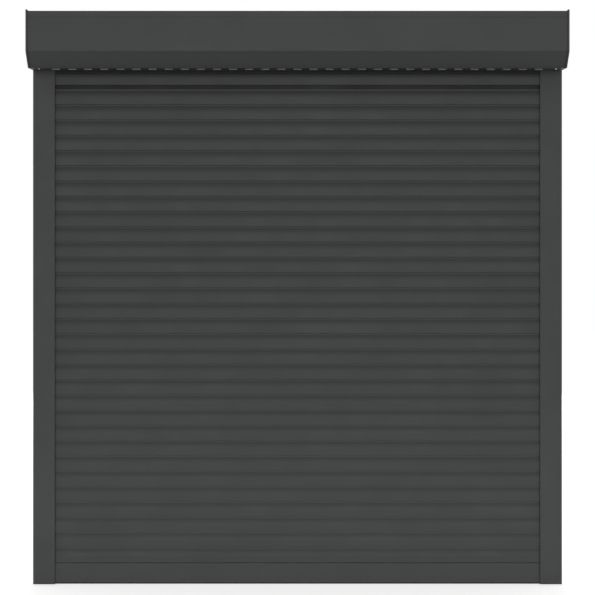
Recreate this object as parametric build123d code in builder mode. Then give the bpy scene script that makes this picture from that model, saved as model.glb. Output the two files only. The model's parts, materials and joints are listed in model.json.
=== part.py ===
from build123d import *
import os

# Exterior roller shutter with a front-mounted casing, drawn closed.
# X runs along the shutter, the outside is towards -Y and Z is up.
# The wall plane is Y = 0, the sill is Z = 0 and the middle of the opening is X = 0.

# Overall
overall_width = 1400.0
overall_height = 1500.0

# Casing: roll-formed covers between two cast end caps
casing_depth = 137.0
casing_height = 137.0
casing_chamfer = 34.0
casing_nose = 5.0
cover_wall = 1.2
cover_lip = 16.0
cover_seam = 0.8
cover_joggle_rise = 8.0
cover_joggle_gap = 0.2
cover_end_gap = 0.2
cover_notch_gap = 0.3
entry_depth = 24.2
entry_flange = 9.0
back_return = 3.0
tab_pitch = 42.0
tab_length = 21.0
tab_width = 9.0
tab_drop = 3.0
tab_bevel = 0.8
tab_nose_gap = 20.0

# End caps
rim_width = 4.5
rim_proud = 3.0
rim_bevel = 0.5
ledge_wall = 2.0
ledge_reach = 24.0
ledge_gap = 0.1
ledge_start = 32.0
boss_radius = 17.0
boss_floor = 1.5
boss_rib = 2.5
tongue_drop = 40.0
tongue_rise = 10.0
tongue_gap = 0.3
tongue_root = 4.0

# Strip on the edge that the curtain passes
strip_drop = 8.5
strip_wall = 1.5
strip_lip = 3.2
strip_grip = 4.3
strip_gap = 0.3
strip_end_gap = 1.0
strip_nose = 1.0

# Screws of the covers
screw_head_radius = 3.6
screw_head_height = 2.0
screw_radius = 1.6
screw_length = 7.0
screw_socket = 1.4
screw_socket_depth = 1.2
screw_inset = 26.0
screw_nose_gap = 18.0
screw_depth_top_front = 104.0
screw_depth_top_back = 36.0

# Guide rails
guide_width = 58.0
guide_depth = 22.0
guide_wall = 1.5
guide_chamber = 18.0
guide_lip_width = 10.0
guide_lip_depth = 4.5
guide_corner = 1.2
groove_width = 5.0
groove_depth = 3.0
groove_mouth = 3.4
groove_lip = 0.8
line_width = 0.8
line_depth = 0.4
line_place = 10.0
fixing_radius = 3.25
fixing_access_radius = 7.0
fixing_first = 200.0
fixing_count = 3

# Seals in the guide rails
seal_gap = 0.1
seal_fin = 2.0
seal_slat_gap = 0.4

# Funnels over the guide rails
funnel_wall = 1.5
funnel_drop = 20.0
funnel_rise = 16.0
funnel_side_rise = 10.0
funnel_flare = 2.2
funnel_back_flare = 1.6
funnel_back_set = 3.4
funnel_front_set = 1.8
funnel_gap = 0.3
funnel_lip_gap = 1.0

# Slats
slat_pitch = 40.5
slat_front = 4.2
slat_back = 3.8
slat_wall = 0.8
slat_joint_gap = 0.3
slat_nose_radius = 1.2
slat_entry = 33.5
crown_set_back = 4.8
crown_start = 18.0
hook_height = 16.0
hook_leg = 1.8
hook_set = 1.2
hook_span = 4.0
lip_curl = 3.2
lip_hook_gap = 0.9
hang_gap = 0.3

# Bottom bar
bar_height = 52.0
bar_wall = 1.2
bar_corner = 1.0
bar_web = 27.0
bar_plug = 3.0
bar_plug_spigot = 15.0
bar_plug_gap = 0.2
bar_slot_mouth = 3.0
bar_slot_width = 5.2
bar_slot_height = 2.4
bar_seal_width = 6.0
bar_seal_drop = 3.5
bar_seal_gap = 0.1
bar_seal_corner = 1.2

# Winding shaft
shaft_flats = 40.0
shaft_wall = 1.0
shaft_end_set = 28.0
shaft_slot_length = 14.0
shaft_slot_width = 5.0
cap_plug = 36.0
cap_plug_gap = 0.2
cap_plug_bore = 13.0
cap_flange_radius = 24.0
cap_flange = 4.0
cap_flange_gap = 0.1
cap_hub_radius = 11.0
pin_radius = 6.0
pin_chamfer = 1.0

# Ball bearings, sealed
bearing_radius = 14.0
bearing_width = 8.0
bearing_inner_wall = 2.3
bearing_split = 0.3
bearing_fit = 0.05
bearing_end_gap = 0.2
bearing_corner = 0.6

# Pulley of the pull strap
pulley_clearance = 6.5
pulley_drum_radius = 34.5
pulley_drum_wall = 3.0
pulley_flange = 1.5
pulley_width = 17.0
pulley_web = 2.5
pulley_cap_gap = 1.5
pulley_hole_wall = 5.75
pulley_hole_count = 6
pulley_slot_width = 16.0
pulley_slot_height = 3.0

# Hangers between the shaft and the top slat
hanger_count = 3
hanger_pitch = 450.0
hanger_width = 30.0
hanger_wall = 0.8
hanger_clip_gap = 0.3
hanger_clip_leg = 3.0
hanger_bend = 39.0
hanger_tail = 26.0
hanger_seat_gap = 0.05
hanger_tooth = 4.0

# Strap outlet at the back of the casing
outlet_width = 18.0
outlet_height = 30.0
outlet_reach = 9.0
outlet_wall = 1.6
outlet_rise = 34.0
outlet_end_gap = 0.7
outlet_cover_gap = 0.1
roller_radius = 3.2
roller_spread = 12.0
roller_depth = 5.6
roller_side_gap = 0.3
roller_fit = 0.05
roller_pin_radius = 1.2

# One overrun for all cuts
overrun = 2.0

# Places worked out from the sizes above
half_width = overall_width / 2
casing_bottom = overall_height - rim_proud - casing_height
casing_top = casing_bottom + casing_height
guide_length = casing_bottom
shaft_depth = casing_depth / 2
shaft_height = casing_bottom + casing_height / 2
curtain_depth = guide_depth / 2
cap_inner = half_width - rim_width
cover_half = cap_inner - cover_end_gap
entry_edge = entry_depth - cover_wall
nose_depth = casing_depth - casing_chamfer - casing_nose
tab_depth = nose_depth - tab_nose_gap
screw_depth_low = nose_depth - screw_nose_gap
guide_inner = half_width - guide_width
fixing_pitch = (guide_length - 2 * fixing_first) / (fixing_count - 1)
tab_count = round(2 * guide_inner / tab_pitch)
pulley_radius = casing_depth / 2 - pulley_clearance
pulley_hole_circle = (pulley_radius + pulley_drum_radius) / 2
pulley_hole_radius = (pulley_radius - pulley_drum_radius) / 2 - pulley_hole_wall
slat_half = guide_inner + slat_entry
slat_length = 2 * slat_half
slat_shoulder = slat_pitch - slat_joint_gap
neck_back = hook_set - slat_back
hook_front = neck_back + hook_span
crown_top = slat_front - crown_set_back
lip_end = neck_back + slat_wall + lip_hook_gap
slot_travel = hook_height - slat_joint_gap - slat_wall - lip_curl - hang_gap
bar_top = bar_seal_drop + bar_height
first_slat_base = bar_top + slat_joint_gap
slat_count = int((casing_bottom - first_slat_base) / slat_pitch)
bar_half = slat_half - bar_plug
root_two = 2 ** 0.5


def underside(depth):
    """Height of the casing's underside, which falls from the entry to the chamfer's end."""
    return casing_bottom - casing_nose * (depth - entry_edge) / (nose_depth - entry_edge)


def side_plane(x_start, depth=0.0, height=0.0):
    """Plane at x_start whose first axis points out of the wall and whose second points up."""
    return Plane(origin=(x_start, -depth, height), x_dir=(0, -1, 0), z_dir=(-1, 0, 0))


def shaft_plane(x_start):
    """Plane square to the shaft at x_start, with its origin on the shaft's axis."""
    return Plane(origin=(x_start, -shaft_depth, shaft_height), x_dir=(0, 1, 0), z_dir=(1, 0, 0))


def hook_outline(shoulder):
    """Outline of the hook that stands on a shoulder, from the hook's back to its front."""
    tip = shoulder + hook_height
    leg_end = tip - slat_wall - hook_leg
    return [
        (neck_back, shoulder),
        (neck_back, tip),
        (hook_front, tip),
        (hook_front, leg_end),
        (hook_front - slat_wall, leg_end),
        (hook_front - slat_wall, tip - slat_wall),
        (neck_back + slat_wall, tip - slat_wall),
        (neck_back + slat_wall, shoulder),
    ]


os.makedirs("parts", exist_ok=True)

# End caps: plate with a rim that stands proud, a ledge under the covers, a bearing boss
# and a tongue that plugs into the guide rail
rim_front = casing_depth + rim_proud
rim_outline = [
    (0, casing_bottom),
    (0, casing_top + rim_proud),
    (rim_front, casing_top + rim_proud),
    (rim_front, casing_bottom + casing_chamfer + rim_proud * (1 - root_two)),
    (nose_depth + rim_proud * root_two, casing_bottom - casing_nose),
    (entry_edge, casing_bottom),
]
ledge_set = cover_wall + ledge_gap
ledge_shift = ledge_set * (root_two - 1)
ledge_path = [
    (ledge_start, underside(ledge_start) + ledge_set),
    (nose_depth - ledge_shift, casing_bottom - casing_nose + ledge_set),
    (casing_depth - ledge_set, casing_bottom + casing_chamfer + ledge_shift),
    (casing_depth - ledge_set, casing_top - ledge_set),
    (ledge_set, casing_top - ledge_set),
]
tongue_width = guide_chamber - 2 * guide_wall - 2 * tongue_gap
tongue_depth = guide_depth - 2 * guide_wall - 2 * tongue_gap
tongue_x = half_width - guide_chamber / 2
root_depth = guide_depth - 2 * tongue_root
root_inner = half_width - guide_chamber + guide_wall + tongue_gap
boss_length = boss_floor + bearing_width
screw_places = [
    (screw_depth_low, underside(screw_depth_low + screw_head_radius), 1),
    (screw_depth_top_front, casing_top, -1),
    (screw_depth_top_back, casing_top, -1),
]

with BuildPart() as end_cap_right:
    with BuildSketch(side_plane(half_width)):
        with BuildLine():
            Polyline(*rim_outline, close=True)
        make_face()
    extrude(amount=rim_width)
    rim_edges = end_cap_right.faces().sort_by(Axis.X)[-1].edges().filter_by(Axis.Y, reverse=True)
    chamfer(rim_edges.filter_by(lambda edge: edge.center().Y < -casing_depth / 2), rim_bevel)
    with BuildSketch(side_plane(cap_inner)):
        with BuildLine():
            Polyline(*ledge_path)
            offset(amount=ledge_wall, side=Side.LEFT, closed=True)
        make_face()
    extrude(amount=ledge_reach)
    with BuildSketch(shaft_plane(cap_inner - boss_length)):
        Circle(boss_radius)
        with PolarLocations(0, 4):
            Rectangle(shaft_depth - 2 * ledge_set, boss_rib, align=(Align.MIN, Align.CENTER))
        Circle(pulley_drum_radius - pulley_drum_wall - overrun, mode=Mode.INTERSECT)
    extrude(amount=boss_length)
    with BuildSketch(shaft_plane(cap_inner - boss_length)):
        Circle(bearing_radius)
    extrude(amount=bearing_width, mode=Mode.SUBTRACT)
    with BuildSketch(Plane.XY.offset(casing_bottom - tongue_drop)):
        with Locations((tongue_x, -curtain_depth)):
            Rectangle(tongue_width, tongue_depth)
    extrude(amount=tongue_drop)
    with BuildSketch(Plane.XY.offset(casing_bottom)):
        with Locations((root_inner, -curtain_depth)):
            Rectangle(cap_inner - root_inner, root_depth, align=(Align.MIN, Align.CENTER))
    extrude(amount=tongue_rise)
    with BuildSketch(Plane.XY.offset(casing_bottom - tongue_drop)):
        with Locations((tongue_x, -curtain_depth)):
            Rectangle(tongue_width - 2 * boss_rib, tongue_depth - 2 * boss_rib)
    extrude(amount=tongue_drop - boss_rib, mode=Mode.SUBTRACT)
    for screw_depth, screw_height, screw_way in screw_places:
        screw_origin = (half_width - screw_inset, -screw_depth, screw_height)
        with BuildSketch(Plane(origin=screw_origin, z_dir=(0, 0, screw_way))):
            Circle(screw_radius)
        extrude(amount=screw_length, mode=Mode.SUBTRACT)
end_cap_right.part.label = "end_cap_right"
export_step(end_cap_right.part, "parts/end_cap_right.step")

with BuildPart() as end_cap_left:
    add(mirror(end_cap_right.part, about=Plane.YZ, mode=Mode.PRIVATE))
end_cap_left.part.label = "end_cap_left"
export_step(end_cap_left.part, "parts/end_cap_left.step")

# Strap outlet place, also used by the cover that it sits in
outlet_x = cap_inner - outlet_end_gap - outlet_width / 2
outlet_z = casing_bottom + outlet_rise

# Top and back cover: lip at the front, top, back and a short return at the bottom
with BuildPart() as top_back_cover:
    with BuildSketch(side_plane(cover_half)):
        with BuildLine():
            Polyline(
                (casing_depth, casing_top - cover_lip),
                (casing_depth, casing_top),
                (0, casing_top),
                (0, casing_bottom),
                (back_return, casing_bottom),
            )
            offset(amount=cover_wall, side=Side.LEFT, closed=True)
        make_face()
    extrude(amount=2 * cover_half)
    with BuildSketch(Plane.XZ):
        with Locations((outlet_x, outlet_z)):
            Rectangle(outlet_width + 2 * outlet_cover_gap, outlet_height + 2 * outlet_cover_gap)
    extrude(amount=overrun, both=True, mode=Mode.SUBTRACT)
    for side in (-1, 1):
        for screw_depth, screw_height, screw_way in screw_places[1:]:
            screw_origin = (side * (half_width - screw_inset), -screw_depth, screw_height)
            with BuildSketch(Plane(origin=screw_origin, z_dir=(0, 0, 1))):
                Circle(screw_radius)
            extrude(amount=overrun, both=True, mode=Mode.SUBTRACT)
top_back_cover.part.label = "top_back_cover"
export_step(top_back_cover.part, "parts/top_back_cover.step")

# Front cover: joggled edge behind the lip, front, chamfer, underside and entry flange
front_top = casing_top - cover_lip - cover_seam
joggle_depth = casing_depth - cover_wall - cover_joggle_gap
tab_base = underside(tab_depth - tab_width / 2)
with BuildPart() as front_cover:
    with BuildSketch(side_plane(cover_half)):
        with BuildLine():
            Polyline(
                (joggle_depth, front_top + cover_joggle_rise),
                (joggle_depth, front_top),
                (casing_depth, front_top),
                (casing_depth, casing_bottom + casing_chamfer),
                (nose_depth, casing_bottom - casing_nose),
                (entry_edge, casing_bottom),
                (entry_edge, casing_bottom + entry_flange),
            )
            offset(amount=cover_wall, side=Side.RIGHT, closed=True)
        make_face()
    extrude(amount=2 * cover_half)
    with BuildSketch(Plane.XY.offset(tab_base)):
        with Locations((0, -tab_depth)):
            with GridLocations(tab_pitch, 0, tab_count, 1):
                Rectangle(tab_length, tab_width)
    extrude(amount=-tab_drop)
    tab_faces = front_cover.faces().filter_by(Axis.Z).filter_by(
        lambda face: face.center().Z < tab_base - tab_drop / 2
    )
    chamfer(tab_faces.edges(), tab_bevel)
    for side in (-1, 1):
        notch_x = side * (cap_inner - ledge_reach / 2)
        notch_depth = joggle_depth - cover_wall - overrun
        with BuildSketch(Plane.XY.offset(front_top - cover_wall)):
            with Locations((notch_x, cover_wall - casing_depth)):
                Rectangle(
                    ledge_reach + 2 * cover_notch_gap,
                    casing_depth - cover_wall - notch_depth,
                    align=(Align.CENTER, Align.MIN),
                )
        extrude(amount=cover_wall + cover_joggle_rise + overrun, mode=Mode.SUBTRACT)
        screw_origin = (side * (half_width - screw_inset), -screw_depth_low, underside(screw_depth_low))
        with BuildSketch(Plane(origin=screw_origin, z_dir=(0, 0, 1))):
            Circle(screw_radius)
        extrude(amount=overrun, both=True, mode=Mode.SUBTRACT)
front_cover.part.label = "front_cover"
export_step(front_cover.part, "parts/front_cover.step")

# Run-in strip: clips on the entry flange and hangs below the casing between the guide rails
strip_front = entry_edge - strip_gap
strip_back = strip_front - strip_lip
strip_top = casing_bottom + entry_flange + strip_gap
grip_back = entry_depth + strip_gap
strip_half = guide_inner - strip_end_gap
with BuildPart() as run_in_strip:
    with BuildSketch(side_plane(strip_half)):
        with BuildLine():
            Polyline(
                (strip_back, casing_bottom - strip_drop),
                (strip_front, casing_bottom - strip_drop),
                (strip_front, strip_top),
                (grip_back, strip_top),
                (grip_back, strip_top - strip_grip),
                (grip_back + strip_wall, strip_top - strip_grip),
                (grip_back + strip_wall, strip_top + strip_wall),
                (strip_back, strip_top + strip_wall),
                close=True,
            )
        make_face()
    extrude(amount=2 * strip_half)
    strip_edges = run_in_strip.edges().filter_by(Axis.X)
    fillet(strip_edges.group_by(Axis.Z)[0], strip_nose)
run_in_strip.part.label = "run_in_strip"
export_step(run_in_strip.part, "parts/run_in_strip.step")

# Screws that hold the covers to the ledges of the end caps
with BuildPart() as casing_screws:
    for side in (-1, 1):
        for screw_depth, screw_height, screw_way in screw_places:
            screw_origin = (side * (half_width - screw_inset), -screw_depth, screw_height)
            with BuildSketch(Plane(origin=screw_origin, z_dir=(0, 0, -screw_way))) as head:
                Circle(screw_head_radius)
            extrude(amount=screw_head_height)
            with BuildSketch(head.workplanes[0].offset(screw_head_height)):
                RegularPolygon(screw_socket, 6)
            extrude(amount=-screw_socket_depth, mode=Mode.SUBTRACT)
            with BuildSketch(Plane(origin=screw_origin, z_dir=(0, 0, screw_way))):
                Circle(screw_radius)
            extrude(amount=screw_length)
casing_screws.part.label = "casing_screws"
export_step(casing_screws.part, "parts/casing_screws.step")

# Guide rails: closed chamber at the wall side, channel for the slats and grooved lips
channel_back = guide_inner + guide_width - guide_chamber
lip_middle = guide_inner + guide_lip_width / 2
groove_floor = guide_wall + groove_depth - groove_lip
with BuildPart() as guide_rail_right:
    with BuildSketch(Plane.XY):
        with Locations((guide_inner, -guide_depth)):
            Rectangle(guide_width, guide_depth, align=Align.MIN)
        fillet(vertices(), guide_corner)
        with Locations((half_width - guide_chamber / 2, -curtain_depth)):
            Rectangle(
                guide_chamber - 2 * guide_wall, guide_depth - 2 * guide_wall, mode=Mode.SUBTRACT
            )
        with Locations((channel_back, -curtain_depth)):
            Rectangle(
                guide_width - guide_chamber - guide_lip_width,
                guide_depth - 2 * guide_wall,
                align=(Align.MAX, Align.CENTER),
                mode=Mode.SUBTRACT,
            )
        with Locations((guide_inner, -curtain_depth)):
            Rectangle(
                2 * (guide_lip_width + overrun),
                guide_depth - 2 * guide_lip_depth,
                mode=Mode.SUBTRACT,
            )
        for groove_side in (-1, 1):
            groove_wall = -curtain_depth + groove_side * (curtain_depth - guide_wall)
            mouth_edge = -curtain_depth + groove_side * (curtain_depth - guide_lip_depth)
            with Locations((lip_middle, (groove_wall + mouth_edge + groove_side * groove_lip) / 2)):
                Rectangle(groove_width, guide_lip_depth - guide_wall - groove_lip, mode=Mode.SUBTRACT)
            with Locations((lip_middle, mouth_edge)):
                Rectangle(groove_mouth, 2 * groove_lip + overrun / 10, mode=Mode.SUBTRACT)
        with Locations((half_width - line_place, -guide_depth)):
            Rectangle(line_width, 2 * line_depth, mode=Mode.SUBTRACT)
    extrude(amount=guide_length)
    for fixing in range(fixing_count):
        fixing_origin = (half_width, -curtain_depth, fixing_first + fixing * fixing_pitch)
        with BuildSketch(Plane(origin=fixing_origin, z_dir=(-1, 0, 0))):
            Circle(fixing_radius)
        extrude(amount=guide_wall + overrun, mode=Mode.SUBTRACT)
        access_origin = (channel_back - overrun, -curtain_depth, fixing_origin[2])
        with BuildSketch(Plane(origin=access_origin, z_dir=(1, 0, 0))):
            Circle(fixing_access_radius)
        extrude(amount=guide_wall + 2 * overrun, mode=Mode.SUBTRACT)
guide_rail_right.part.label = "guide_rail_right"
export_step(guide_rail_right.part, "parts/guide_rail_right.step")

with BuildPart() as guide_rail_left:
    add(mirror(guide_rail_right.part, about=Plane.YZ, mode=Mode.PRIVATE))
guide_rail_left.part.label = "guide_rail_left"
export_step(guide_rail_left.part, "parts/guide_rail_left.step")

# Seal strips in the grooves of the guide rails, one each side of the slats
with BuildPart() as guide_seals_right:
    with BuildSketch(Plane.XY):
        for seal_side, slat_face in ((-1, slat_front), (1, slat_back)):
            floor = -curtain_depth + seal_side * (curtain_depth - guide_wall - seal_gap)
            shelf = -curtain_depth + seal_side * (
                curtain_depth - guide_lip_depth + groove_lip + seal_gap
            )
            fin_end = -curtain_depth + seal_side * (slat_face + seal_slat_gap)
            with Locations((lip_middle, (floor + shelf) / 2)):
                Rectangle(groove_width - 2 * seal_gap, abs(floor - shelf))
            with Locations((lip_middle, (shelf + fin_end) / 2)):
                Rectangle(seal_fin, abs(shelf - fin_end))
    extrude(amount=guide_length)
guide_seals_right.part.label = "guide_seals_right"
export_step(guide_seals_right.part, "parts/guide_seals_right.step")

with BuildPart() as guide_seals_left:
    add(mirror(guide_seals_right.part, about=Plane.YZ, mode=Mode.PRIVATE))
guide_seals_left.part.label = "guide_seals_left"
export_step(guide_seals_left.part, "parts/guide_seals_left.step")

# Run-in funnels: two flared wings and a side plate, plugged into the top of each channel
funnel_outer = channel_back - funnel_gap
funnel_inner = guide_inner + guide_lip_width + funnel_lip_gap
funnel_front = guide_depth - funnel_front_set
funnel_foot = guide_length - funnel_drop
funnel_top = guide_length + funnel_rise
with BuildPart() as run_in_funnel_right:
    with BuildSketch(side_plane(funnel_outer)):
        with BuildLine():
            Polyline(
                (funnel_front, funnel_foot),
                (funnel_front, guide_length),
                (funnel_front + funnel_flare, funnel_top),
                (funnel_front + funnel_flare - funnel_wall, funnel_top),
                (funnel_front - funnel_wall, guide_length),
                (funnel_front - funnel_wall, funnel_foot),
                close=True,
            )
        make_face()
        with BuildLine():
            Polyline(
                (funnel_back_set, funnel_foot),
                (funnel_back_set, guide_length),
                (funnel_back_set - funnel_back_flare, funnel_top),
                (funnel_back_set - funnel_back_flare + funnel_wall, funnel_top),
                (funnel_back_set + funnel_wall, guide_length),
                (funnel_back_set + funnel_wall, funnel_foot),
                close=True,
            )
        make_face()
    extrude(amount=funnel_outer - funnel_inner)
    with BuildSketch(side_plane(funnel_outer)):
        with Locations((funnel_back_set, funnel_foot)):
            Rectangle(
                funnel_front - funnel_back_set, funnel_drop + funnel_side_rise, align=Align.MIN
            )
    extrude(amount=funnel_wall)
run_in_funnel_right.part.label = "run_in_funnel_right"
export_step(run_in_funnel_right.part, "parts/run_in_funnel_right.step")

with BuildPart() as run_in_funnel_left:
    add(mirror(run_in_funnel_right.part, about=Plane.YZ, mode=Mode.PRIVATE))
run_in_funnel_left.part.label = "run_in_funnel_left"
export_step(run_in_funnel_left.part, "parts/run_in_funnel_left.step")


def build_slat(base):
    """One hollow slat: crowned front, hook on top, pocket with a curled lip below."""
    with BuildPart() as slat:
        with BuildSketch(side_plane(slat_half, curtain_depth, base)):
            with BuildLine():
                Polyline(
                    (-slat_back, 0),
                    (-slat_back, slat_shoulder),
                    *hook_outline(slat_shoulder),
                    (crown_top, slat_shoulder),
                )
                TangentArc(
                    (slat_front, crown_start), (crown_top, slat_shoulder), tangent=(0, 1)
                )
                Line((slat_front, crown_start), (slat_front, slat_nose_radius))
                TangentArc(
                    (slat_front, slat_nose_radius),
                    (slat_front - slat_nose_radius, 0),
                    tangent=(0, -1),
                )
                Polyline(
                    (slat_front - slat_nose_radius, 0),
                    (lip_end, 0),
                    (lip_end, lip_curl),
                    (lip_end + slat_wall, lip_curl),
                    (lip_end + slat_wall, slat_wall),
                    (slat_front - slat_nose_radius, slat_wall),
                )
                TangentArc(
                    (slat_front - slat_wall, slat_nose_radius),
                    (slat_front - slat_nose_radius, slat_wall),
                    tangent=(0, -1),
                )
                Polyline(
                    (slat_front - slat_wall, slat_nose_radius),
                    (slat_front - slat_wall, hook_height),
                    (slat_wall - slat_back, hook_height),
                    (slat_wall - slat_back, 0),
                    (-slat_back, 0),
                )
            make_face()
            hollow_floor = hook_height + slat_wall
            hollow_top = slat_shoulder - slat_wall
            with BuildLine():
                Polyline(
                    (crown_top - slat_wall, hollow_top),
                    (slat_wall - slat_back, hollow_top),
                    (slat_wall - slat_back, hollow_floor),
                    (slat_front - slat_wall, hollow_floor),
                    (slat_front - slat_wall, crown_start),
                )
                TangentArc(
                    (slat_front - slat_wall, crown_start),
                    (crown_top - slat_wall, hollow_top),
                    tangent=(0, 1),
                )
            make_face(mode=Mode.SUBTRACT)
        extrude(amount=slat_length)
    return slat.part


# Slats, numbered from the top. The top one hangs on its neighbour with the joint open.
for slat_number in range(1, slat_count + 1):
    slat_base = first_slat_base + (slat_count - slat_number) * slat_pitch
    if slat_number == 1:
        slat_base += slot_travel
    slat_piece = build_slat(slat_base)
    slat_piece.label = f"slat_{slat_number:02d}"
    export_step(slat_piece, f"parts/slat_{slat_number:02d}.step")

# Bottom bar: two hollow chambers, the slats' hook on top and a slot for the rubber below
slot_middle = (slat_front - slat_back) / 2
slot_floor = bar_wall + bar_slot_height
with BuildPart() as bottom_bar:
    with BuildSketch(side_plane(bar_half, curtain_depth, bar_seal_drop)):
        with BuildLine():
            Polyline(
                (-slat_back, 0),
                (-slat_back, bar_height),
                *hook_outline(bar_height),
                (slat_front - bar_corner, bar_height),
                (slat_front, bar_height - bar_corner),
                (slat_front, bar_corner),
                (slat_front - bar_corner, 0),
                (slot_middle + bar_slot_mouth / 2, 0),
                (slot_middle + bar_slot_mouth / 2, bar_wall),
                (slot_middle + bar_slot_width / 2, bar_wall),
                (slot_middle + bar_slot_width / 2, slot_floor),
                (slot_middle - bar_slot_width / 2, slot_floor),
                (slot_middle - bar_slot_width / 2, bar_wall),
                (slot_middle - bar_slot_mouth / 2, bar_wall),
                (slot_middle - bar_slot_mouth / 2, 0),
                close=True,
            )
        make_face()
        chamber_width = slat_front + slat_back - 2 * bar_wall
        with Locations((slot_middle, slot_floor + bar_wall)):
            Rectangle(
                chamber_width,
                bar_web - slot_floor - bar_wall,
                align=(Align.CENTER, Align.MIN),
                mode=Mode.SUBTRACT,
            )
        with Locations((slot_middle, bar_web + bar_wall)):
            Rectangle(
                chamber_width,
                bar_height - bar_web - 2 * bar_wall,
                align=(Align.CENTER, Align.MIN),
                mode=Mode.SUBTRACT,
            )
    extrude(amount=2 * bar_half)
bottom_bar.part.label = "bottom_bar"
export_step(bottom_bar.part, "parts/bottom_bar.step")

# Rubber under the bottom bar: its head sits in the bar's slot
with BuildPart() as bottom_bar_seal:
    with BuildSketch(side_plane(bar_half, curtain_depth, 0)):
        with Locations((slot_middle, 0)):
            Rectangle(bar_seal_width, bar_seal_drop, align=(Align.CENTER, Align.MIN))
        fillet(vertices().group_by(Axis.Y)[0], bar_seal_corner)
        with Locations((slot_middle, bar_seal_drop)):
            Rectangle(
                bar_slot_mouth - 2 * bar_seal_gap,
                bar_wall + bar_seal_gap,
                align=(Align.CENTER, Align.MIN),
            )
        with Locations((slot_middle, bar_seal_drop + bar_wall + bar_seal_gap)):
            Rectangle(
                bar_slot_width - 2 * bar_seal_gap,
                bar_slot_height - 2 * bar_seal_gap,
                align=(Align.CENTER, Align.MIN),
            )
    extrude(amount=2 * bar_half)
bottom_bar_seal.part.label = "bottom_bar_seal"
export_step(bottom_bar_seal.part, "parts/bottom_bar_seal.step")

# End plugs of the bottom bar: a plate with rounded corners and a spigot in the chamber
with BuildPart() as bar_plug_right:
    with BuildSketch(side_plane(slat_half, curtain_depth, bar_seal_drop)):
        with Locations((slot_middle, bar_height / 2)):
            RectangleRounded(slat_front + slat_back, bar_height, bar_corner)
    extrude(amount=bar_plug)
    with BuildSketch(side_plane(bar_half, curtain_depth, bar_seal_drop)):
        with Locations((slot_middle, bar_web + bar_wall + bar_plug_gap)):
            Rectangle(
                slat_front + slat_back - 2 * bar_wall - 2 * bar_plug_gap,
                bar_height - bar_web - 2 * bar_wall - 2 * bar_plug_gap,
                align=(Align.CENTER, Align.MIN),
            )
    extrude(amount=bar_plug_spigot)
bar_plug_right.part.label = "bar_plug_right"
export_step(bar_plug_right.part, "parts/bar_plug_right.step")

with BuildPart() as bar_plug_left:
    add(mirror(bar_plug_right.part, about=Plane.YZ, mode=Mode.PRIVATE))
bar_plug_left.part.label = "bar_plug_left"
export_step(bar_plug_left.part, "parts/bar_plug_left.step")

# Winding shaft: octagonal tube with a slot in its top flat for each hanger
shaft_half = cap_inner - shaft_end_set
with BuildPart() as winding_shaft:
    with BuildSketch(shaft_plane(-shaft_half)):
        RegularPolygon(shaft_flats / 2, 8, major_radius=False, rotation=22.5)
        RegularPolygon(
            shaft_flats / 2 - shaft_wall, 8, major_radius=False, rotation=22.5, mode=Mode.SUBTRACT
        )
    extrude(amount=2 * shaft_half)
    with BuildSketch(Plane.XY.offset(shaft_height + shaft_flats / 2)):
        with Locations((0, -shaft_depth)):
            with GridLocations(hanger_pitch, 0, hanger_count, 1):
                Rectangle(shaft_slot_length, shaft_slot_width)
    extrude(amount=-2 * shaft_wall, mode=Mode.SUBTRACT)
winding_shaft.part.label = "winding_shaft"
export_step(winding_shaft.part, "parts/winding_shaft.step")

# Shaft caps: octagonal plug in the tube, flange over its end, hub and pin
pin_end = cap_inner - boss_floor
pulley_outer = cap_inner - pulley_cap_gap
pulley_inner = pulley_outer - pulley_width
flange_start = shaft_half + cap_flange_gap
with BuildPart() as drive_cap:
    with BuildSketch(shaft_plane(flange_start - cap_plug)):
        RegularPolygon(
            shaft_flats / 2 - shaft_wall - cap_plug_gap, 8, major_radius=False, rotation=22.5
        )
        Circle(cap_plug_bore, mode=Mode.SUBTRACT)
    extrude(amount=cap_plug)
    with BuildSketch(shaft_plane(flange_start)):
        Circle(cap_flange_radius)
    extrude(amount=cap_flange)
    with BuildSketch(shaft_plane(flange_start + cap_flange)):
        Circle(cap_hub_radius)
    extrude(amount=pulley_inner - flange_start - cap_flange)
    with BuildSketch(shaft_plane(pulley_inner)):
        Circle(pin_radius)
    extrude(amount=pin_end - pulley_inner)
    chamfer(drive_cap.edges().sort_by(Axis.X)[-1], pin_chamfer)
drive_cap.part.label = "drive_cap"
export_step(drive_cap.part, "parts/drive_cap.step")

with BuildPart() as idler_cap:
    add(mirror(drive_cap.part, about=Plane.YZ, mode=Mode.PRIVATE))
idler_cap.part.label = "idler_cap"
export_step(idler_cap.part, "parts/idler_cap.step")

# Ball bearings: the outer ring sits in the end cap's boss, the inner ring on the pin
bearing_start = cap_inner - boss_length + bearing_end_gap
bearing_length = bearing_width - 2 * bearing_end_gap
inner_ring_radius = pin_radius + bearing_inner_wall
with BuildPart() as bearing_outer_right:
    with BuildSketch(shaft_plane(bearing_start)):
        Circle(bearing_radius - bearing_fit)
        Circle(inner_ring_radius + bearing_split, mode=Mode.SUBTRACT)
    extrude(amount=bearing_length)
    outer_edges = bearing_outer_right.edges().filter_by(GeomType.CIRCLE).group_by(SortBy.RADIUS)[-1]
    chamfer(outer_edges, bearing_corner)
bearing_outer_right.part.label = "bearing_outer_right"
export_step(bearing_outer_right.part, "parts/bearing_outer_right.step")

with BuildPart() as bearing_outer_left:
    add(mirror(bearing_outer_right.part, about=Plane.YZ, mode=Mode.PRIVATE))
bearing_outer_left.part.label = "bearing_outer_left"
export_step(bearing_outer_left.part, "parts/bearing_outer_left.step")

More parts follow.
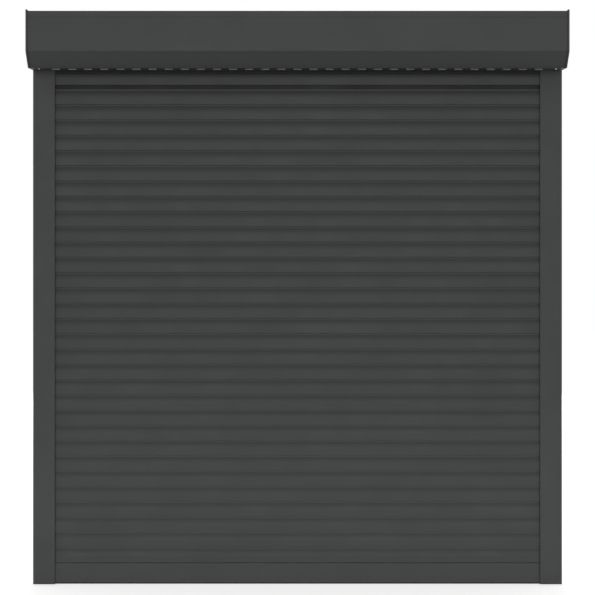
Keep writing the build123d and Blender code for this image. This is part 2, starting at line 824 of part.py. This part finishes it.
with BuildPart() as bearing_inner_right:
    with BuildSketch(shaft_plane(bearing_start)):
        Circle(inner_ring_radius)
        Circle(pin_radius + bearing_fit, mode=Mode.SUBTRACT)
    extrude(amount=bearing_length)
bearing_inner_right.part.label = "bearing_inner_right"
export_step(bearing_inner_right.part, "parts/bearing_inner_right.step")

with BuildPart() as bearing_inner_left:
    add(mirror(bearing_inner_right.part, about=Plane.YZ, mode=Mode.PRIVATE))
bearing_inner_left.part.label = "bearing_inner_left"
export_step(bearing_inner_left.part, "parts/bearing_inner_left.step")

# Strap pulley: dished web on the cap's hub, drum and two flanges with round cut-outs
with BuildPart() as strap_pulley:
    with BuildSketch(shaft_plane(pulley_inner)):
        Circle(pulley_drum_radius)
        Circle(pin_radius + bearing_fit, mode=Mode.SUBTRACT)
    extrude(amount=pulley_web)
    with BuildSketch(shaft_plane(pulley_inner)):
        Circle(pulley_drum_radius)
        Circle(pulley_drum_radius - pulley_drum_wall, mode=Mode.SUBTRACT)
    extrude(amount=pulley_width)
    for flange_x in (pulley_inner, pulley_outer - pulley_flange):
        with BuildSketch(shaft_plane(flange_x)):
            Circle(pulley_radius)
            Circle(pulley_drum_radius - pulley_drum_wall, mode=Mode.SUBTRACT)
            with PolarLocations(pulley_hole_circle, pulley_hole_count):
                Circle(pulley_hole_radius, mode=Mode.SUBTRACT)
        extrude(amount=pulley_flange)
    slot_origin = (pulley_inner + pulley_width / 2, -shaft_depth, shaft_height)
    with BuildSketch(Plane(origin=slot_origin, x_dir=(1, 0, 0), z_dir=(0, 1, 0))):
        Rectangle(pulley_width - 2 * pulley_flange - pulley_web, pulley_slot_height)
    extrude(amount=pulley_drum_radius + overrun, mode=Mode.SUBTRACT)
strap_pulley.part.label = "strap_pulley"
export_step(strap_pulley.part, "parts/strap_pulley.step")

# Hangers: spring steel strips from the shaft's top flat to clips on the top slat's hook
top_slat_base = first_slat_base + (slat_count - 1) * slat_pitch + slot_travel
hook_tip = top_slat_base + slat_shoulder + hook_height
clip_back = curtain_depth + neck_back - hanger_clip_gap - hanger_wall
clip_front = curtain_depth + hook_front + hanger_clip_gap + hanger_wall
clip_top = hook_tip + hanger_clip_gap + hanger_wall
strip_seat = shaft_height + shaft_flats / 2 + hanger_seat_gap
bend_start = strip_seat + hanger_wall - hanger_bend
with BuildPart() as curtain_hangers:
    for hanger in range(hanger_count):
        hanger_x = (hanger - (hanger_count - 1) / 2) * hanger_pitch + hanger_width / 2
        with BuildSketch(side_plane(hanger_x)):
            with BuildLine():
                Polyline(
                    (clip_back + hanger_wall, hook_tip - hanger_clip_leg),
                    (clip_back, hook_tip - hanger_clip_leg),
                    (clip_back, clip_top),
                )
                Line((clip_back, clip_top), (clip_back, bend_start))
                TangentArc(
                    (clip_back, bend_start),
                    (clip_back + hanger_bend, bend_start + hanger_bend),
                    tangent=(0, 1),
                )
                Polyline(
                    (clip_back + hanger_bend, bend_start + hanger_bend),
                    (shaft_depth + hanger_tail / 2, bend_start + hanger_bend),
                    (shaft_depth + hanger_tail / 2, strip_seat),
                    (clip_back + hanger_bend, strip_seat),
                )
                TangentArc(
                    (clip_back + hanger_wall, bend_start),
                    (clip_back + hanger_bend, strip_seat),
                    tangent=(0, 1),
                )
                Polyline(
                    (clip_back + hanger_wall, bend_start),
                    (clip_back + hanger_wall, clip_top),
                    (clip_front, clip_top),
                    (clip_front, hook_tip - hanger_clip_leg),
                    (clip_front - hanger_wall, hook_tip - hanger_clip_leg),
                    (clip_front - hanger_wall, clip_top - hanger_wall),
                    (clip_back + hanger_wall, clip_top - hanger_wall),
                    (clip_back + hanger_wall, hook_tip - hanger_clip_leg),
                )
            make_face()
        extrude(amount=hanger_width)
        tooth_origin = (hanger_x - hanger_width / 2, -shaft_depth, strip_seat)
        with BuildSketch(Plane(origin=tooth_origin, z_dir=(0, 0, -1))):
            Rectangle(shaft_slot_length - 4 * hanger_wall, hanger_wall)
        extrude(amount=hanger_tooth)
curtain_hangers.part.label = "curtain_hangers"
export_step(curtain_hangers.part, "parts/curtain_hangers.step")

# Strap outlet: a frame in the back cover with two rollers on fixed pins
outlet_inner = outlet_width - 2 * outlet_wall
with BuildPart() as strap_outlet:
    with BuildSketch(Plane.XZ):
        with Locations((outlet_x, outlet_z)):
            Rectangle(outlet_width, outlet_height)
            Rectangle(outlet_inner, outlet_height - 2 * outlet_wall, mode=Mode.SUBTRACT)
    extrude(amount=outlet_reach)
    for roller_side in (-1, 1):
        pin_origin = (
            outlet_x - outlet_inner / 2,
            -roller_depth,
            outlet_z + roller_side * roller_spread / 2,
        )
        with BuildSketch(Plane(origin=pin_origin, z_dir=(1, 0, 0))):
            Circle(roller_pin_radius)
        extrude(amount=outlet_inner)
strap_outlet.part.label = "strap_outlet"
export_step(strap_outlet.part, "parts/strap_outlet.step")


def build_roller(roller_side):
    """Waisted roller on one of the outlet's pins, below (-1) or above (1) the strap."""
    roller_length = outlet_inner - 2 * roller_side_gap
    roller_origin = (
        outlet_x - roller_length / 2,
        -roller_depth,
        outlet_z + roller_side * roller_spread / 2,
    )
    with BuildPart() as roller:
        with BuildSketch(Plane(origin=roller_origin, z_dir=(1, 0, 0))):
            Circle(roller_radius)
            Circle(roller_pin_radius + roller_fit, mode=Mode.SUBTRACT)
        extrude(amount=roller_length)
    return roller.part


roller_lower = build_roller(-1)
roller_lower.label = "strap_roller_lower"
export_step(roller_lower, "parts/strap_roller_lower.step")

roller_upper = build_roller(1)
roller_upper.label = "strap_roller_upper"
export_step(roller_upper, "parts/strap_roller_upper.step")
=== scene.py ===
import json
import math

import bpy
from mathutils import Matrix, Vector


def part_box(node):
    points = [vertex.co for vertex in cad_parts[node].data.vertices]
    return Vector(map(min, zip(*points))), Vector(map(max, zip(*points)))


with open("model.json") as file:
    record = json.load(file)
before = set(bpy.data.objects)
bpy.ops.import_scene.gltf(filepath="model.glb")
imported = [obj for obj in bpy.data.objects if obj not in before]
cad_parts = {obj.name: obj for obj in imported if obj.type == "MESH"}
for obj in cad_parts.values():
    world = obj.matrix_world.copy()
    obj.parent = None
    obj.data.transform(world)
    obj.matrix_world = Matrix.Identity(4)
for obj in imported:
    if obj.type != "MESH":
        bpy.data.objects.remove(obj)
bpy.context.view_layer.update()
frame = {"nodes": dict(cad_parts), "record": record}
nodes = frame["nodes"]

# Colours are linear
ANTHRACITE = (0.0352, 0.0366, 0.0361)
SLAT_GREY = (0.0326, 0.0339, 0.0334)
ZINC = (0.42, 0.43, 0.44)
SPRING = (0.30, 0.31, 0.32)
STEEL = (0.50, 0.50, 0.51)
BLACK = (0.012, 0.012, 0.012)
SOFT_BLACK = (0.009, 0.009, 0.0095)
GREY = (0.26, 0.26, 0.27)
SCREW = (0.46, 0.46, 0.46)
PALE = (0.98, 0.98, 0.98)
WHITE = (1.0, 1.0, 1.0)

# The coat: cells are counted a metre, a pair is a lowest and a highest value, and a relief
# is its strength and its depth in metres
CLOUD_CELLS = 3.0
CLOUD_TINT = (0.985, 1.015)
GLOSS_CELLS = 11.0
COAT_ROUGHNESS = (0.44, 0.54)
COAT_SPECULAR = 0.12
PEEL_CELLS = 700.0
SLAT_PEEL_CELLS = 1000.0
PEEL_DETAIL = 2.0
PEEL_RELIEF = (0.12, 0.0004)

# Where the slats' coat changes, front to back, and to what share: painted shade on the
# slope, painted light at its top edge, painted shade in the joint, and at the back, which
# has the plain coat again
SLOPE_DEPTH = (-0.01515, -0.0142)
SLOPE_PAINTED_SHADE = 0.89
EDGE_DEPTH = (-0.0121, -0.0107)
EDGE_PAINTED_LIGHT = 2.4
JOINT_DEPTH = (-0.0101, -0.0097)
JOINT_PAINTED_SHADE = 0.06
BACK_DEPTH = (-0.0082, -0.0077)
BACK_SHARE = 1 / (SLOPE_PAINTED_SHADE * EDGE_PAINTED_LIGHT * JOINT_PAINTED_SHADE)

# Where the front cover's coat changes: painted shade on its nose, darker towards the bottom,
# and a painted highlight on the pressed tabs behind it. Heights are above the tabs' lowest face
NOSE_HEIGHT = (0.003, 0.016)
NOSE_PAINTED_SHADE = 0.84
TAB_HEIGHT = (0.0020, 0.0025)
TAB_DEPTH = (-0.0830, -0.0828)
TAB_PAINTED_HIGHLIGHT = 4.3

# Bare metal: its grain is drawn out along the axis with the small number
METAL_GRAIN_CELLS = 400.0
METAL_GRAIN_DETAIL = 4.0
METAL_PATCH_CELLS = 60.0
METAL_TINT = (0.85, 1.1)
METAL_SMOOTHER = 0.08
METAL_ROUGHER = 0.1
METAL_RELIEF = (0.15, 0.0002)
EVEN_GRAIN = (1, 1, 1)
SHEET_GRAIN = (0.03, 1, 1)
STRIP_GRAIN = (1, 1, 0.05)
RING_GRAIN = (0.2, 1, 1)
SCREW_ROUGHNESS = 0.35
ZINC_ROUGHNESS = 0.42
SPRING_ROUGHNESS = 0.3
BEARING_ROUGHNESS = 0.25

# Moulded plastic
PLASTIC_CELLS = 25.0
PLASTIC_TINT = (0.92, 1.08)
SKIN_CELLS = 2200.0
SKIN_DETAIL = 2.0
SKIN_SMOOTHER = 0.05
SKIN_ROUGHER = 0.08
SKIN_RELIEF = (0.2, 0.0002)
PLASTIC_SPECULAR = 0.15
BLACK_PLASTIC_ROUGHNESS = 0.55
GREY_PLASTIC_ROUGHNESS = 0.5

# Extruded rubber
RUBBER_GRAIN = (0.02, 1, 1)
RUBBER_CELLS = 900.0
RUBBER_RELIEF = (0.25, 0.0003)
RUBBER_ROUGHNESS = 0.75
RUBBER_SPECULAR = 0.25
DUST_CELLS = 45.0
DUST_DETAIL = 6.0
DUST_TINT = (0.8, 1.5)

# Brush pile
HAIR_GRAIN = (0.3, 0.1, 1)
HAIR_CELLS = 2600.0
HAIR_DETAIL = 2.0
HAIR_TINT = (0.5, 1.6)
HAIR_RELIEF = (0.6, 0.0006)
HAIR_ROUGHNESS = 0.9
HAIR_SPECULAR = 0.1
HAIR_SHEEN = 0.1

# Noise: its fineness, and the stretch of its factor that a tint or a gloss is spread over
NOISE_DETAIL = 3.0
NOISE_ROUGHNESS = 0.55
NOISE_SPAN = (0.3, 0.7)

# Studio, in metres and watts. The sky lights the shutter less than it shows
FLOOR_SIZE = 60
FLOOR_DROP = 0.0005
FLOOR_ROUGHNESS = 0.9
FLOOR_LIFT = 0.45
SKY_LIGHT = 0.6
SKY_SHOWN = 1.0
SOFT_AIM = (0, 0, 0.7)
SOFT_SIZE = (6.0, 3.0)
FRONT_PLACE = (0, -8.0, 1.2)
FRONT_POWER = 324
BACK_PLACE = (0, 8.0, 2.4)
BACK_POWER = 200
LOW_PLACE = (0, -0.9, 0.06)
LOW_AIM = (0, 0, 0.1)
LOW_SIZE = (2.6, 0.1)
LOW_POWER = 1.5
LOW_SPREAD = math.radians(100)

# Camera straight in front, level, at half the height
CAMERA_PLACE = (0.0, -4.215, 0.759)
CAMERA_TILT = (math.radians(90), 0, 0)
CAMERA_ANGLE = math.radians(21.27)
CAMERA_SENSOR = 36


def new_material(name):
    """A material with an empty node tree but for its shader and output."""
    material = bpy.data.materials.new(name)
    material.use_nodes = True
    tree = material.node_tree
    return material, tree, tree.nodes["Principled BSDF"]


def add(tree, kind, **values):
    """A node with its settings and unlinked inputs filled in."""
    node = tree.nodes.new(kind)
    for key, value in values.items():
        if hasattr(node, key):
            setattr(node, key, value)
        else:
            node.inputs[key.replace("_", " ")].default_value = value
    return node


def position(tree, stretch=EVEN_GRAIN):
    """Object coordinates in metres, stretched for grain that runs one way."""
    coordinates = add(tree, "ShaderNodeTexCoord")
    mapping = add(tree, "ShaderNodeMapping")
    mapping.inputs["Scale"].default_value = stretch
    tree.links.new(coordinates.outputs["Object"], mapping.inputs["Vector"])
    return mapping.outputs["Vector"]


def noise(tree, vector, cells, detail=NOISE_DETAIL):
    """Noise factor at that many cells a metre."""
    node = add(tree, "ShaderNodeTexNoise", Scale=cells, Detail=detail, Roughness=NOISE_ROUGHNESS)
    tree.links.new(vector, node.inputs["Vector"])
    return node.outputs["Fac"]


def between(tree, factor, values, span=NOISE_SPAN):
    """The factor's span spread over the two values."""
    node = add(tree, "ShaderNodeMapRange")
    ends = {"From Min": span[0], "From Max": span[1], "To Min": values[0], "To Max": values[1]}
    for key, value in ends.items():
        node.inputs[key].default_value = value
    tree.links.new(factor, node.inputs["Value"])
    return node.outputs["Result"]


def both(tree, operation, first, second):
    """The two factors joined by a sum of that kind."""
    node = add(tree, "ShaderNodeMath", operation=operation)
    tree.links.new(first, node.inputs[0])
    tree.links.new(second, node.inputs[1])
    return node.outputs["Value"]


def tint(tree, factor, colour, values):
    """The colour made darker and lighter by the factor."""
    node = add(tree, "ShaderNodeVectorMath", operation="SCALE")
    node.inputs[0].default_value = colour
    tree.links.new(between(tree, factor, values), node.inputs["Scale"])
    return node.outputs["Vector"]


def bump(tree, shader, height, relief):
    """Fine relief on the shader."""
    strength, depth = relief
    node = add(tree, "ShaderNodeBump", Strength=strength, Distance=depth)
    tree.links.new(height, node.inputs["Height"])
    tree.links.new(node.outputs["Normal"], shader.inputs["Normal"])


def coated(name, colour, peel_cells):
    """Powder or coil coat: even colour with a faint cloud, satin gloss and fine orange peel."""
    material, tree, shader = new_material(name)
    here = position(tree)
    cloud = noise(tree, here, CLOUD_CELLS)
    tree.links.new(tint(tree, cloud, colour, CLOUD_TINT), shader.inputs["Base Color"])
    gloss = noise(tree, here, GLOSS_CELLS)
    tree.links.new(between(tree, gloss, COAT_ROUGHNESS), shader.inputs["Roughness"])
    shader.inputs["Specular IOR Level"].default_value = COAT_SPECULAR
    bump(tree, shader, noise(tree, here, peel_cells, PEEL_DETAIL), PEEL_RELIEF)
    return material


def depth_and_height(tree):
    """How far back and how high the point is, in metres."""
    split = add(tree, "ShaderNodeSeparateXYZ")
    tree.links.new(position(tree), split.inputs["Vector"])
    return split.outputs["Y"], split.outputs["Z"]


def shade(tree, shares):
    """The coat's colour scaled by each share of painted light and shade in turn."""
    base = tree.nodes["Principled BSDF"].inputs["Base Color"]
    colour = base.links[0].from_socket
    for share in shares:
        scaled = add(tree, "ShaderNodeVectorMath", operation="SCALE")
        tree.links.new(colour, scaled.inputs[0])
        tree.links.new(share, scaled.inputs["Scale"])
        colour = scaled.outputs["Vector"]
    tree.links.new(colour, base)


def slat_coat_painted_light_and_shade(name, colour, peel_cells):
    """The coat of the slats, with painted shade on the slope, painted light at its top and
    painted shade in the joint.
    """
    material = coated(name, colour, peel_cells)
    tree = material.node_tree
    depth, _ = depth_and_height(tree)
    # Painted shade on the slope and in the joint, painted light at the slope's top edge
    painted_zones = (
        (SLOPE_PAINTED_SHADE, SLOPE_DEPTH),
        (EDGE_PAINTED_LIGHT, EDGE_DEPTH),
        (JOINT_PAINTED_SHADE, JOINT_DEPTH),
        (BACK_SHARE, BACK_DEPTH),
    )
    shade(tree, [between(tree, depth, (1.0, share), span) for share, span in painted_zones])
    return material


def above(low, heights):
    """Heights over the lowest face, as heights over the sill."""
    return tuple(low + height for height in heights)


def cover_coat_painted_light_and_shade(name, colour, peel_cells, low):
    """The coat of the front cover, with painted shade at the nose and a painted highlight on the
    pressed tabs.
    """
    material = coated(name, colour, peel_cells)
    tree = material.node_tree
    depth, height = depth_and_height(tree)
    # Painted shade on the nose and a painted highlight on the pressed tabs
    nose_painted_shade = between(tree, height, (NOSE_PAINTED_SHADE, 1.0), above(low, NOSE_HEIGHT))
    behind = between(tree, depth, (0.0, 1.0), TAB_DEPTH)
    below = between(tree, height, (1.0, 0.0), above(low, TAB_HEIGHT))
    tab_painted_highlight = between(tree, both(tree, "MULTIPLY", behind, below), (1.0, TAB_PAINTED_HIGHLIGHT), (0.0, 1.0))
    shade(tree, [nose_painted_shade, tab_painted_highlight])
    return material


def metal(name, colour, stretch, roughness):
    """Bare metal with drawn grain and patches of duller skin."""
    material, tree, shader = new_material(name)
    grain = noise(tree, position(tree, stretch), METAL_GRAIN_CELLS, METAL_GRAIN_DETAIL)
    patches = noise(tree, position(tree), METAL_PATCH_CELLS)
    tree.links.new(tint(tree, patches, colour, METAL_TINT), shader.inputs["Base Color"])
    rough = between(tree, grain, (roughness - METAL_SMOOTHER, roughness + METAL_ROUGHER))
    tree.links.new(rough, shader.inputs["Roughness"])
    shader.inputs["Metallic"].default_value = 1.0
    bump(tree, shader, grain, METAL_RELIEF)
    return material


def moulded(name, colour, roughness):
    """Moulded plastic with a fine eroded skin."""
    material, tree, shader = new_material(name)
    here = position(tree)
    cloud = noise(tree, here, PLASTIC_CELLS)
    tree.links.new(tint(tree, cloud, colour, PLASTIC_TINT), shader.inputs["Base Color"])
    skin = noise(tree, here, SKIN_CELLS, SKIN_DETAIL)
    rough = between(tree, skin, (roughness - SKIN_SMOOTHER, roughness + SKIN_ROUGHER))
    tree.links.new(rough, shader.inputs["Roughness"])
    shader.inputs["Specular IOR Level"].default_value = PLASTIC_SPECULAR
    bump(tree, shader, skin, SKIN_RELIEF)
    return material


def rubber(name, colour):
    """Extruded rubber: dull, with faint lines along its length and a little dust."""
    material, tree, shader = new_material(name)
    lines = noise(tree, position(tree, RUBBER_GRAIN), RUBBER_CELLS)
    dust = noise(tree, position(tree), DUST_CELLS, DUST_DETAIL)
    tree.links.new(tint(tree, dust, colour, DUST_TINT), shader.inputs["Base Color"])
    shader.inputs["Roughness"].default_value = RUBBER_ROUGHNESS
    shader.inputs["Specular IOR Level"].default_value = RUBBER_SPECULAR
    bump(tree, shader, lines, RUBBER_RELIEF)
    return material


def pile(name, colour):
    """Dense pile of a sealing brush, its hairs running across the rail."""
    material, tree, shader = new_material(name)
    hairs = noise(tree, position(tree, HAIR_GRAIN), HAIR_CELLS, HAIR_DETAIL)
    tree.links.new(tint(tree, hairs, colour, HAIR_TINT), shader.inputs["Base Color"])
    shader.inputs["Roughness"].default_value = HAIR_ROUGHNESS
    shader.inputs["Specular IOR Level"].default_value = HAIR_SPECULAR
    shader.inputs["Sheen Weight"].default_value = HAIR_SHEEN
    bump(tree, shader, hairs, HAIR_RELIEF)
    return material


# The looks by material slot, and two that single pieces have in place of their slot's
lowest_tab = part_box("front_cover")[0][2]
looks = {
    "coated_aluminium": coated("coated_aluminium", ANTHRACITE, PEEL_CELLS),
    "coated_slat": slat_coat_painted_light_and_shade("coated_slat", SLAT_GREY, SLAT_PEEL_CELLS),
    "bright_screw": metal("bright_screw", SCREW, EVEN_GRAIN, SCREW_ROUGHNESS),
    "black_rubber": rubber("black_rubber", BLACK),
    "black_plastic": moulded("black_plastic", SOFT_BLACK, BLACK_PLASTIC_ROUGHNESS),
    "grey_plastic": moulded("grey_plastic", GREY, GREY_PLASTIC_ROUGHNESS),
    "zinc_steel": metal("zinc_steel", ZINC, SHEET_GRAIN, ZINC_ROUGHNESS),
    "spring_steel": metal("spring_steel", SPRING, STRIP_GRAIN, SPRING_ROUGHNESS),
    "bearing_steel": metal("bearing_steel", STEEL, RING_GRAIN, BEARING_ROUGHNESS),
    "brush_pile": pile("brush_pile", SOFT_BLACK),
    "coated_cover_painted_light_and_shade": cover_coat_painted_light_and_shade("coated_cover_painted_light_and_shade", ANTHRACITE, PEEL_CELLS, lowest_tab),
}
own_looks = {
    "guide_seals_left": "brush_pile",
    "guide_seals_right": "brush_pile",
    "front_cover": "coated_cover_painted_light_and_shade",
}
slots = {part["node"]: part["material_slot"] for part in frame["record"]["subparts"]}
for name, node in nodes.items():
    node.data.materials.clear()
    node.data.materials.append(looks[own_looks.get(name, slots[name])])


def looked_at(tree):
    """One for what the camera sees, also in a reflection or through glass, and zero for light."""
    rays = add(tree, "ShaderNodeLightPath")
    seen = rays.outputs["Is Camera Ray"]
    for kind in ("Is Glossy Ray", "Is Transmission Ray"):
        seen = both(tree, "MAXIMUM", seen, rays.outputs[kind])
    return seen


def studio_floor():
    """Pale floor, evenly dull, which looks a little whiter than it shines on the shutter."""
    material, tree, shader = new_material("studio_floor")
    shader.inputs["Base Color"].default_value = (*PALE, 1)
    shader.inputs["Roughness"].default_value = FLOOR_ROUGHNESS
    shader.inputs["Specular IOR Level"].default_value = 0.0
    shader.inputs["Emission Color"].default_value = (*PALE, 1)
    lift = between(tree, looked_at(tree), (0.0, FLOOR_LIFT), (0.0, 1.0))
    tree.links.new(lift, shader.inputs["Emission Strength"])
    bpy.ops.mesh.primitive_plane_add(size=FLOOR_SIZE, location=(0, 0, -FLOOR_DROP))
    floor = bpy.context.object
    floor.name = "studio_floor"
    floor.data.materials.append(material)


def studio_sky():
    """White all round, and weaker as a light than it looks."""
    world = bpy.data.worlds.new("studio")
    bpy.context.scene.world = world
    world.use_nodes = True
    tree = world.node_tree
    sky = tree.nodes["Background"]
    sky.inputs["Color"].default_value = (*WHITE, 1)
    shine = between(tree, looked_at(tree), (SKY_LIGHT, SKY_SHOWN), (0.0, 1.0))
    tree.links.new(shine, sky.inputs["Strength"])


def soft_light(name, place, target, size, power):
    """Area light at place that faces target."""
    data = bpy.data.lights.new(name, "AREA")
    data.shape = "RECTANGLE"
    data.size, data.size_y = size
    data.energy = power
    light = bpy.data.objects.new(name, data)
    light.location = place
    way = Vector(target) - Vector(place)
    light.rotation_euler = way.to_track_quat("-Z", "Y").to_euler()
    bpy.context.collection.objects.link(light)
    return light


def studio_camera():
    """The camera of the photograph."""
    data = bpy.data.cameras.new("camera")
    data.sensor_width = CAMERA_SENSOR
    data.sensor_fit = "HORIZONTAL"
    data.angle_x = CAMERA_ANGLE
    camera = bpy.data.objects.new("camera", data)
    camera.location = CAMERA_PLACE
    camera.rotation_euler = CAMERA_TILT
    bpy.context.collection.objects.link(camera)
    bpy.context.scene.camera = camera


studio_floor()
studio_sky()
soft_light("front_soft", FRONT_PLACE, SOFT_AIM, SOFT_SIZE, FRONT_POWER)
back_soft = soft_light("back_soft", BACK_PLACE, SOFT_AIM, SOFT_SIZE, BACK_POWER)
back_soft.visible_camera = False
back_soft.visible_glossy = False
low_soft = soft_light("low_soft", LOW_PLACE, LOW_AIM, LOW_SIZE, LOW_POWER)
low_soft.data.spread = LOW_SPREAD
low_soft.visible_camera = False
studio_camera()
bpy.context.scene.view_settings.view_transform = "Standard"
